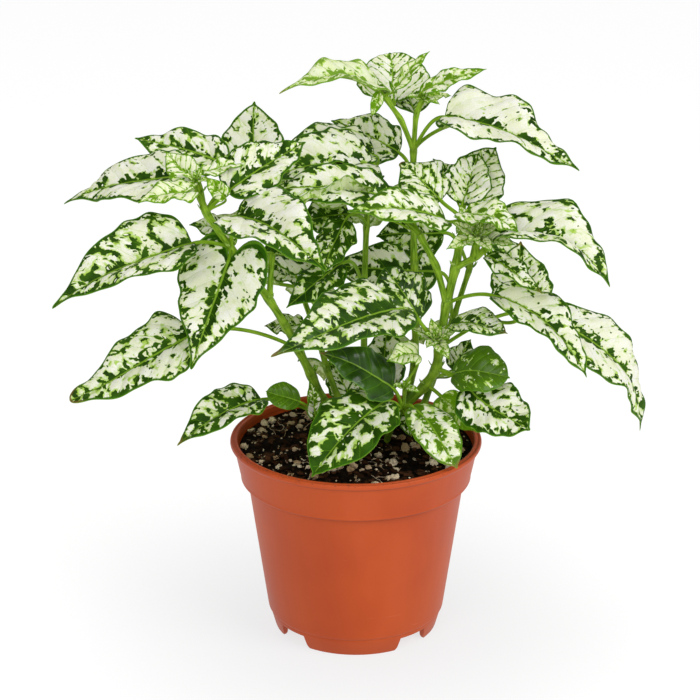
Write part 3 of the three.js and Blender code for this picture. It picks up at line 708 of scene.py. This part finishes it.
def stem_skin_material():
    finish = Finish("stem_skin", {
        "IOR": 1.42, "Specular IOR Level": 0.1, "Subsurface Weight": 0.12,
        "Subsurface Radius": (0.8, 1.0, 0.1), "Subsurface Scale": 1.2 * mm})
    spot = finish.spot()
    z = finish.split(spot)[2]
    along, turn, near = finish.note("rind")
    kind, seed, _ = finish.note("shoot")
    streaks = finish.stretched(along * 0.12, turn * 9, seed, 3.0, 0.6)
    fine = finish.stretched(along * 0.5, turn * 26, seed, 2.0)
    blotches = finish.mottle(spot, 160.0, 3.0)
    skin = finish.blend(streaks.rise(0.3, 0.7), colour(74, 114, 2), colour(150, 188, 56))
    skin = finish.blend(kind * 0.35, skin, colour(122, 162, 24))
    # Main stems darker below 190 mm: partly an older, woodier stem, partly painted shade among the leaves
    skin = finish.blend((1 - z.rise(0.1, 0.19)) * (1 - kind) * 0.5, skin, colour(58, 90, 4))
    # Painted shade: stems and stalks darker still below 120 mm, near the soil inside the plant
    skin = finish.blend((1 - z.rise(0.095, 0.12)) * 0.4, skin, colour(40, 66, 4))
    skin = finish.blend(near.rise(0.6, 2.4) * (1 - near.rise(2.4, 7.0)) * (1 - kind) * 0.35,
                        skin, colour(152, 184, 52))
    skin = finish.blend((1 - near.rise(0.2, 0.7)) * (1 - kind) * 0.2, skin, colour(140, 154, 74))
    skin = finish.blend(blotches.rise(0.56, 0.72) * 0.25, skin, colour(158, 186, 66))
    rough = 0.4 + 0.15 * streaks
    finish.connect(finish.shader, {
        "Base Color": skin, "Roughness": rough,
        "Normal": finish.relief(streaks + fine * 0.6 + blotches * 0.5, 0.16 * mm)})
    return finish.material


def leaf_blade_material():
    finish = Finish("leaf_blade", {
        "IOR": 1.42, "Specular IOR Level": 0.1, "Coat Roughness": 0.24, "Subsurface Weight": 0.08,
        "Subsurface Radius": (0.9, 1.0, 0.2), "Subsurface Scale": 0.8 * mm})
    p, q, edge = finish.note("place")
    seed, green, length = finish.note("growth")
    young, under, gloss = finish.note("age")
    across = abs(q)
    share = p / length
    spacing = (length / veins_a_leaf).least(full_spacing).most(least_spacing)
    grown = 0.35 + 0.65 * spacing / full_spacing
    shift = seed * 31.7 + (q > 0) * 13.3
    vein_x = (p - 0.3 * across) / grown + shift
    vein_y = across / grown
    broad = finish.stretched(vein_x * 0.3, vein_y * 0.3, seed, 2.0)
    sway = finish.stretched(vein_x * 0.3, vein_y * 0.3 + shift, seed, 2.0)
    bent_x = vein_x + (broad - 0.5) * 4.0
    bent_y = vein_y + (sway - 0.5) * 4.0

    tooth_x, tooth_y, _ = finish.split(finish.cells(bent_x, bent_y, "Position"))
    blotch_wide, blotch_long = 5.0, 5.4
    blotch = finish.stretched(tooth_x / blotch_wide, tooth_y / blotch_long, seed, 1.0)
    smooth = finish.stretched(bent_x / blotch_wide, bent_y / blotch_long, seed, 1.0)
    swell = finish.stretched(p * 0.14 / grown + shift, q * 0.14 / grown, seed + 5.0, 0.0)

    along_vein = p - vein_slope * across - vein_bend * across * across
    vein_turn = (along_vein + (broad - 0.5) * 1.6 * grown) / spacing
    off_vein = abs(vein_turn % 1.0 - 0.5) * 2
    vein_gap = (1 - off_vein) * spacing * 0.5
    nearest_vein = vein_turn + 0.5 - (vein_turn + 0.5) % 1.0
    jag = finish.stretched(bent_x * 0.36, bent_y * 0.36, seed + 2.0, 1.0)
    strand = finish.stretched(nearest_vein * 7.3 + shift, across * 0.13 / grown, seed + 7.0, 1.0)
    small = 1 - spacing.rise(4.0, 7.0)
    rib_way = across / grown + (tooth_y - bent_y) * 0.4
    rim_way = edge / grown + (tooth_x - bent_x) * 0.3
    vein_way = vein_gap / grown + (tooth_x - bent_x) * 0.2
    rib_reach = (0.8 + 4.4 * swell.rise(0.38, 0.64)) * (0.25 + jag.rise(0.36, 0.62))
    rib_reach = rib_reach * (1.15 - 0.9 * share) * (1 - 0.5 * small) - 0.3
    rim_reach = (1.4 + 3.0 * (1 - swell.rise(0.34, 0.66))) * jag.rise(0.44, 0.66)
    rim_reach = rim_reach * (1 - 0.7 * share.rise(0.6, 0.95)) * (1 - 0.5 * small) + 0.5 - 0.3 * young
    vein_reach = strand.rise(0.53 - 0.2 * small, 0.68 - 0.18 * small) * (0.3 + 1.3 * jag.rise(0.38, 0.65))
    vein_reach = vein_reach * (1.15 - 0.4 * small - 0.35 * young * young)
    vein_reach = vein_reach * (0.5 + 1.1 * green.least(1)) - 0.5 + 0.3 * small

    line = 0.785 - 0.42 * green + 0.05 * young
    cover = blotch * 0.64 + smooth * 0.36
    cover = cover + 0.06 * (1 - (rib_way / 7).rise(0, 1)) + 0.06 * (1 - (rim_way / 6).rise(0, 1))
    for reach, way in ((rib_reach, rib_way), (rim_reach, rim_way), (vein_reach, vein_way)):
        cover = cover.most(line + 0.11 * (reach - way))

    speck_size = 2.4
    speck_x, speck_y = bent_x / speck_size, bent_y / speck_size
    specks = finish.cells(speck_x, speck_y, "Distance")
    chance_x, chance_y, _ = finish.split(finish.cells(speck_x, speck_y, "Color"))
    dot = 1 - specks.rise(0.08 + 0.12 * chance_y, 0.16 + 0.14 * chance_y)
    cover = cover + dot * ((chance_x > 0.88) - (chance_x < 0.14)) * 0.2

    dark = cover.rise(line - 0.01, line + 0.01)
    halo = cover.rise(line - 0.065 - 0.06 * green, line - 0.004)

    tone = finish.stretched(p * 0.12 + shift, q * 0.12, seed, 3.0)
    fine = finish.stretched(p * 1.6 + shift, q * 1.6, seed, 2.0)
    cloud = finish.stretched(vein_x * 0.34, vein_y * 0.26, seed + 9.0, 4.0, 0.6)
    net = finish.cells(p / 1.1 + shift, q / 1.1, 0, "DISTANCE_TO_EDGE")
    green_tone = finish.blend(tone.rise(0.3, 0.7), colour(25, 55, 0), colour(50, 88, 4))
    green_tone = finish.blend(young * 0.9, green_tone, colour(114, 162, 14))
    cream = finish.blend(tone.rise(0.35, 0.65), colour(232, 231, 223), colour(224, 225, 201))
    cream = finish.blend(cloud.rise(0.5, 0.74) * (0.5 + 0.3 * young), cream, colour(185, 203, 100))
    cream = finish.blend((1 - net.rise(0.02, 0.12)) * 0.25, cream, colour(186, 204, 114))
    cream = finish.blend(young * young * young * 0.6, cream, colour(218, 240, 108))
    skin = finish.blend(halo * 0.9, cream, colour(154, 192, 36))
    skin = finish.blend(dark, skin, green_tone)

    vein_line = 1 - vein_gap.rise(0.06, 0.2 + 0.14 * young)
    skin = finish.blend(vein_line * (0.12 + 0.25 * dark + 0.45 * young), skin, colour(112, 164, 22))
    rib_line = 1 - (across / grown + share * 0.4).rise(0.4, 0.75)
    skin = finish.blend(rib_line * (0.95 - 0.3 * share), skin, colour(128, 166, 44))
    rim_line = 1 - (edge / grown).rise(0.75 - 0.45 * young, 1.3 - 0.6 * young)
    rim_light = 1 - (edge / grown).rise(0.2, 0.45)
    rim_tone = finish.blend(young * 0.7, colour(42, 86, 2), colour(108, 160, 16))
    dry_tip = share.rise(0.86, 1.0) * ((seed * 0.61) % 1.0 > 0.7)
    rim_tone = finish.blend(dry_tip * 0.7, rim_tone, colour(132, 74, 50))
    skin = finish.blend(rim_line * 0.9, skin, rim_tone)
    skin = finish.blend(rim_light * 0.5, skin, colour(112, 160, 30))
    skin = finish.blend(under * (0.55 - 0.35 * young), skin, colour(170, 197, 98))

    rough = 0.44 + 0.1 * fine + 0.1 * under
    height = net.rise(0.0, 0.25) * 0.25 + fine * 0.2 + vein_gap.rise(0.0, 1.0) * 0.9
    finish.connect(finish.shader, {
        "Base Color": skin, "Roughness": rough, "Coat Weight": gloss * (1 - under) * 0.5,
        "Normal": finish.relief(height, 0.14 * mm, 0.9)})
    return finish.material


stem_skin = stem_skin_material()
leaf_blade = leaf_blade_material()

left = LeafyStem("leafy_stem_left", radius=2.6, nodes=[
    (-5, 6, root_z), (-6, 6, 96), (-16, 2, 114), (-21, 0, 127), (-27, -3, 141), (-33, -5, 154),
    (-40, -8, 167), (-57, -10, 192), (-68, -10, 209), (-71, -10, 218), (-72, -10, 224), (-39, 4, 185),
], runs=[(0, 1, 2, 3, 4, 5, 6, 7, 8, 9, 10), (6, 11)])
left.leaf(7, (-74, -18, 197), (-135, -42, 174), 42, fold=25, round=0.4, taper=1.2, green=0.5)
left.leaf(7, (-58, -16, 188), (-74, -44, 146), 40, arch=0.08, fold=5, face=(0, -1, 1), round=0.36,
          taper=1.35, lobe=0.32, green=0.3)
left.leaf(4, (-75, -24, 155), (-129, -44, 131), 36, arch=0.02, fold=10, face=(0, -0.6, 1), round=0.3,
          taper=1.1, nose=10, green=0.42)
left.leaf(8, (-75, -4, 225), (-136, 16, 206), 35, fold=12, taper=1.3, green=0.3)
left.leaf(8, (-59, 10, 226), (-103, 26, 235), 24, arch=0.06, fold=5, face=(0, -0.9, 1), green=0.4)
left.leaf(9, (-73, -9, 223), (-86, -4, 236), 15, fold=10, face=(0, -1, 0.6), green=0.3, young=0.6)
left.leaf(8, (-72, -14, 220), (-97, -26, 218), 16, arch=0.16, green=0.3, young=0.7)
left.leaf(10, (-71, -8, 227), (-48, -4, 231), 10, green=0.3, young=0.6)
left.leaf(8, (-58, -12, 219), (-23, 6, 238), 30, face=(0, -0.7, 1), round=0.45, green=0.42)
left.leaf(7, (-54, -20, 210), (-13, -66, 199), 40, arch=0.16, fold=20, face=(0, -0.6, 1), round=0.32,
          taper=1.1, green=0.32)
left.leaf(8, (-59, -14, 217), (-67, -18, 228), 9, face=(0, -1, 0.5), young=0.7)
left.leaf(11, (-43, 10, 184), (-9, 22, 171), 22, fold=5)
left.leaf(1, (-44, -14, 120), (-81, -46, 110), 25, arch=0.2, fold=22, green=0.5)
left.leaf(1, (-26, -12, 118), (-42, -16, 125), 14, face=(0, -1, 1), round=0.6, taper=0.6,
          wave=0.2, green=1.8, young=0.35, gloss=0.7)
left.leaf(1, (-19, -8, 108), (-22, -11, 129), 8, young=0.3)
left.tuft(10, 4, 10)
left.finish("left")


# The right stem is the thickest. It has three side shoots, ends in rosettes of young leaves and carries
# the leaves that hang over the right of the pot.

right = LeafyStem("leafy_stem_right", radius=2.8, nodes=[
    (7, 8, root_z), (10, 8, 96), (21, 4, 108), (33, 2, 121), (38, 0, 130), (39, -2, 141),
    (42, -2, 163), (46, 0, 180), (48, 0, 193), (50, 0, 202), (55, -6, 187), (60, -10, 193),
    (55, -11, 197), (37, -9, 147), (37, -4, 182), (29, -3, 197),
], runs=[(0, 1, 2, 3, 4, 5, 6, 7, 8, 9), (7, 10, 11), (10, 12), (5, 13), (6, 14, 15)])
right.leaf(9, (49, 8, 208), (57, 18, 230), 25, arch=0.05, fold=22, face=(-0.2, -0.8, 0.6), taper=0.9,
           green=0.3)
right.leaf(9, (51, 12, 208), (65, 21, 232), 27, arch=0.05, fold=5, face=(0.3, -0.8, 0.6), taper=0.9,
           green=0.3)
right.leaf(9, (39, 4, 211), (20, 14, 226), 32, fold=5, nose=5, green=0.42)
right.leaf(9, (45, 14, 212), (36, 27, 225), 16, fold=5)
right.leaf(9, (41, -6, 204), (-4, -30, 215), 26, arch=0.2, fold=12, face=(0, -0.6, 1), green=0.38,
           young=0.2)
right.leaf(11, (64, -6, 195), (115, -20, 177), 42, arch=0.46, fold=26, face=(0.1, -0.3, 1), round=0.4,
           green=0.42)
right.leaf(9, (49, -6, 207), (73, -22, 203), 22, arch=0.3, face=(0, -0.4, 1), green=0.42, young=0.4)
right.leaf(11, (59, -14, 190), (83, -36, 179), 14, green=0.3)
right.leaf(6, (63, -8, 169), (105, -30, 137), 29, arch=0.28, fold=18, face=(0.3, -0.5, 1), round=0.42,
           taper=0.9, green=0.32)
right.leaf(5, (87, 6, 155), (137, 12, 94), 36, arch=0.38, fold=10, face=(0.5, -0.6, 1), taper=1.1,
           wave=1.6, green=0.25)
right.leaf(5, (43, -8, 154), (69, -24, 156), 20, arch=0.24, face=(0, -0.4, 1), round=0.6, taper=0.75,
           wave=0.5, green=0.45, gloss=0.6)
right.leaf(5, (29, -10, 158), (13, 4, 179), 26, fold=5, round=0.6, taper=0.7, green=0.6, gloss=0.4)
right.leaf(5, (19, -16, 165), (-37, -72, 162), 41, arch=0.12, fold=14, face=(0, -0.6, 1), round=0.38,
           taper=1.2, green=0.58, gloss=0.5)
right.leaf(4, (45, -8, 130), (71, -20, 133), 26, arch=0.3, fold=10, face=(0, -0.8, 1), round=0.6,
           taper=0.65, wave=0.6, green=0.88, young=0.3, gloss=0.8)
right.leaf(4, (51, -14, 127), (79, -40, 115), 30, arch=-0.1, fold=5, face=(0, -0.9, 1), taper=0.75,
           nose=4, green=0.42)
right.leaf(3, (40, -4, 118), (56, -20, 106), 20, fold=5, green=0.7, young=0.9)
right.leaf(15, (17, 5, 212), (-42, -9, 218), 30, arch=0.2, fold=12, face=(0, -0.6, 1), taper=1.1)
right.leaf(15, (7, 2, 210), (-27, -26, 219), 24, arch=0.15, face=(0, 1, 0.7), young=0.5)
right.leaf(15, (-5, -4, 204), (-15, -18, 182), 18, fold=5, green=0.65)
right.tuft(9, 4, 9)
right.tuft(12, 7, 16)
right.tuft(13, 6, 14)
right.finish("right")


# The tall stem is rooted at the back right and rises above all the others. Like the left stem it is
# one soft green shoot, and it forks at its top into two short shoots with young leaves.

tall = LeafyStem("leafy_stem_tall", radius=2.2, nodes=[
    (23, 37, root_z), (24, 36, 96), (29, 34, 121), (29, 32, 141), (28, 32, 173), (27, 32, 201),
    (27, 32, 228), (21, 30, 243), (13, 30, 254), (28, 32, 245), (31, 32, 252),
], runs=[(0, 1, 2, 3, 4, 5, 6), (6, 7, 8), (6, 9, 10)])
tall.leaf(8, (11, 32, 255), (-35, 12, 259), 28, arch=0.36, fold=20, face=(0, -0.3, 1), round=0.4,
          taper=1.3, green=0.36, young=0.65, pale=0.5)
tall.leaf(8, (18, 44, 248), (16, 62, 268), 34, fold=5, taper=0.6, green=0.3, young=0.2)
tall.leaf(8, (17, 30, 256), (34, 30, 275), 9, young=0.7)
tall.leaf(8, (11, 26, 257), (7, 22, 246), 6, face=(0, -1, 0.3), young=0.7)
tall.leaf(10, (30, 28, 256), (60, 24, 268), 11, face=(0, -0.8, 1), young=0.6)
tall.leaf(10, (30, 36, 252), (45, 44, 251), 8, young=0.9)
tall.leaf(6, (41, 26, 245), (102, 4, 225), 41, arch=0.16, fold=20, face=(0.2, -0.5, 1), round=0.34,
          taper=1.2, wave=1.8, green=0.14)
tall.leaf(5, (21, 58, 220), (-12, 66, 234), 28, arch=0.16, fold=5, face=(0, -0.7, 1))
tall.leaf(5, (29, 44, 205), (26, 72, 184), 26, arch=0.2, face=(0, 0.5, 1))
tall.leaf(3, (22, 46, 150), (-8, 70, 140), 28, arch=0.2, face=(0, 0.5, 1))
tall.leaf(3, (28, 50, 126), (14, 70, 106), 28, arch=0.2, face=(0, 0.5, 1))
tall.leaf(10, (28, 46, 242), (22, 68, 254), 22, face=(0, 0, 1))
tall.leaf(6, (40, 40, 236), (78, 56, 232), 26, arch=0.2, face=(0, 0.3, 1))
tall.tuft(10, 3, 9)
tall.finish("tall")


# The middle stem stands straight up from the soil behind the pot's centre. Its two large top leaves
# close the view between the left and the right stem.

middle = LeafyStem("leafy_stem_middle", radius=2.2, nodes=[
    (3, 30, root_z), (3, 30, 96), (4, 30, 124), (4, 32, 159), (5, 32, 191), (6, 30, 211),
], runs=[(0, 1, 2, 3, 4, 5)])
middle.leaf(5, (9, 44, 222), (-40, 29, 225), 34, arch=0.2, fold=10, face=(0, -0.5, 1))
middle.leaf(5, (8, 32, 221), (-40, 12, 218), 42, arch=0.18, fold=12, face=(0, -0.6, 1), round=0.42)
middle.leaf(4, (-3, 12, 202), (-27, 0, 202), 22, fold=5, face=(0, -1, 1), green=0.65)
middle.leaf(3, (-7, 6, 180), (-32, -14, 165), 20, fold=5, green=0.65)
middle.leaf(1, (13, 44, 102), (15, 50, 138), 22, fold=5)
middle.leaf(5, (4, 44, 206), (-13, 70, 206), 28, arch=0.15, face=(0, 0.3, 1))
middle.leaf(4, (6, 44, 192), (6, 70, 178), 26, arch=0.15, face=(0, 0.3, 1))
middle.tuft(5, 4, 9)
middle.finish("middle")


# The low shoot is young and thin. It is rooted in front, near the right stem, and hangs two leaves over
# the soil and the rim.

low = LeafyStem("leafy_shoot_low", radius=1.6, nodes=[
    (14, 1, root_z), (15, 0, 96), (22, -6, 112), (23, -8, 124),
], runs=[(0, 1, 2, 3)])
low.leaf(2, (17, -12, 125), (-17, -22, 146), 24, arch=0.18, fold=8, face=(0, -0.9, 1), round=0.42,
         green=1.9, gloss=1)
low.leaf(3, (29, -12, 141), (14, -20, 141), 14, arch=0.3, face=(0, -0.8, 1), green=0.2, young=0.8)
low.leaf(2, (26, -12, 116), (46, -44, 98), 22, arch=0.16, fold=8, round=0.6, taper=0.7, nose=3,
         wave=0.6, green=0.45, young=0.4, gloss=0.5)
low.leaf(2, (14, -14, 119), (-20, -54, 98), 36, arch=0.26, fold=14, round=0.58, taper=0.75, green=0.6)
low.leaf(2, (20, -10, 113), (15, -18, 106), 6, face=(0, -1, 0.3))
low.leaf(2, (23, -10, 111), (26, -18, 103), 8, face=(0, -1, 0.3))
low.tuft(3, 3, 8)
low.finish("low")


# The two back stems are rooted behind and lean out to the left and to the right. They fill the far side
# of the plant, which the front view hardly shows.

back_left = LeafyStem("leafy_stem_back_left", radius=2.1, nodes=[
    (-1, 20, root_z), (-2, 22, 96), (-8, 26, 104), (-14, 30, 119), (-18, 36, 132), (-27, 44, 155),
    (-40, 48, 192),
], runs=[(0, 1, 2, 3, 4, 5, 6)])
back_left.leaf(6, (-50, 36, 207), (-48, 46, 248), 33, arch=0.05, fold=5, round=0.6, taper=0.9,
               nose=2.5, green=0.3)
back_left.leaf(2, (-2, 36, 102), (-13, 50, 115), 18, fold=5)
back_left.leaf(5, (-29, 38, 162), (-47, 22, 174), 24, fold=5)
back_left.leaf(4, (-26, 44, 136), (-45, 48, 135), 15, fold=5)
back_left.leaf(6, (-57, 44, 183), (-80, 40, 189), 18, fold=5)
back_left.leaf(6, (-46, 56, 189), (-74, 62, 164), 30, arch=0.2, face=(0, 0.5, 1))
back_left.leaf(6, (-39, 56, 196), (-44, 70, 211), 26, face=(0, 0, 1))
back_left.leaf(5, (-29, 52, 152), (-8, 70, 129), 28, arch=0.2, face=(0, 0.5, 1))
back_left.leaf(5, (-37, 50, 156), (-70, 64, 143), 26, arch=0.2, face=(0, 0.3, 1))
back_left.leaf(3, (-15, 44, 116), (-16, 70, 98), 26, arch=0.2, face=(0, 0.5, 1))
back_left.tuft(6, 3, 9)
back_left.finish("back_left")

back_right = LeafyStem("leafy_stem_back_right", radius=2.1, nodes=[
    (31, 34, root_z), (33, 36, 96), (38, 46, 107), (48, 54, 136), (56, 58, 161), (60, 56, 184),
], runs=[(0, 1, 2, 3, 4, 5)])
back_right.leaf(3, (79, 24, 151), (79, 36, 182), 30, fold=5)
back_right.leaf(3, (40, 48, 163), (-14, 47, 167), 28, arch=0.05, fold=5, face=(0, -1, 0.6))
back_right.leaf(4, (43, 54, 181), (10, 58, 178), 26, arch=0.05, fold=5, face=(0, -1, 0.5), green=0.6)
back_right.leaf(2, (48, 30, 118), (56, 34, 133), 16, fold=5)
back_right.leaf(5, (66, 55, 186), (100, 57, 183), 28, arch=0.2, face=(0, 0.3, 1))
back_right.leaf(5, (58, 60, 192), (64, 68, 208), 26, face=(0, 0, 1))
back_right.leaf(5, (62, 57, 178), (84, 61, 140), 30, arch=0.2, face=(0.3, -0.5, 1))
back_right.leaf(2, (44, 52, 108), (72, 64, 92), 28, arch=0.2, face=(0, 0.4, 1))
back_right.tuft(5, 3, 9)
back_right.finish("back_right")


# The studio: a white floor, soft white light all round and from three large lamps, with the key at the
# front right, and the camera, which looks down a little as the photograph does. The floor and the lamps
# are placed in metres.

floor_reach = 4
floor_mesh = bpy.data.meshes.new("studio_floor")
floor_mesh.from_pydata(
    [(-floor_reach, -floor_reach, 0), (floor_reach, -floor_reach, 0), (floor_reach, floor_reach, 0),
     (-floor_reach, floor_reach, 0)], [], [(0, 1, 2, 3)])
floor = place("studio_floor", floor_mesh)
paper = Finish("studio_paper", {
    "Base Color": (0.2, 0.2, 0.2, 1), "Roughness": 0.8, "Specular IOR Level": 0.2,
    "Emission Strength": 0.85})
paper_x, paper_y, _ = paper.split(paper.spot())
paper_out = (paper_x * paper_x + paper_y * paper_y).root()
# The floor glows white by itself. Painted shadow: its glow is dimmer within 0.2 m of the pot's middle, a
# soft shadow round the foot
paper.connect(paper.shader, {
    "Emission Color": paper.blend(paper_out.rise(0.03, 0.2), (0.835, 0.85, 0.855, 1), (1, 1, 1, 1))})
floor.data.materials.append(paper.material)


def soft_light(name, spot, power, size, aim=(0, 0, 0.13)):
    lamp = bpy.data.lights.new(name, "AREA")
    lamp.shape = "DISK"
    lamp.energy = power
    lamp.size = size
    light = place(name, lamp)
    light.location = spot
    light.rotation_euler = (Vector(aim) - Vector(spot)).to_track_quat("-Z", "Y").to_euler()


soft_light("key_light", (1.3, -0.95, 1.15), 20, 1.3)
soft_light("top_light", (-0.3, 0.4, 1.9), 6.5, 1.5)
soft_light("front_light", (-0.6, -1.5, 1.0), 11.5, 1.4)
world = bpy.data.worlds.new("studio_air")
world.use_nodes = True
world.node_tree.nodes["Background"].inputs["Color"].default_value = (1, 1, 1, 1)
world.node_tree.nodes["Background"].inputs["Strength"].default_value = 0.43
bpy.context.scene.world = world
bpy.context.scene.view_settings.view_transform = "Standard"

camera_aim = Vector((-2.8, 0, 139.6)) * mm
camera_distance, camera_tilt = 950 * mm, math.radians(19.6)
lens = bpy.data.cameras.new("camera")
lens.lens, lens.sensor_width = 104.1, 36
camera = place("camera", lens)
camera.location = camera_aim + camera_distance * Vector((0, -math.cos(camera_tilt), math.sin(camera_tilt)))
camera.rotation_euler = (math.pi / 2 - camera_tilt, 0, 0)
bpy.context.scene.camera = camera
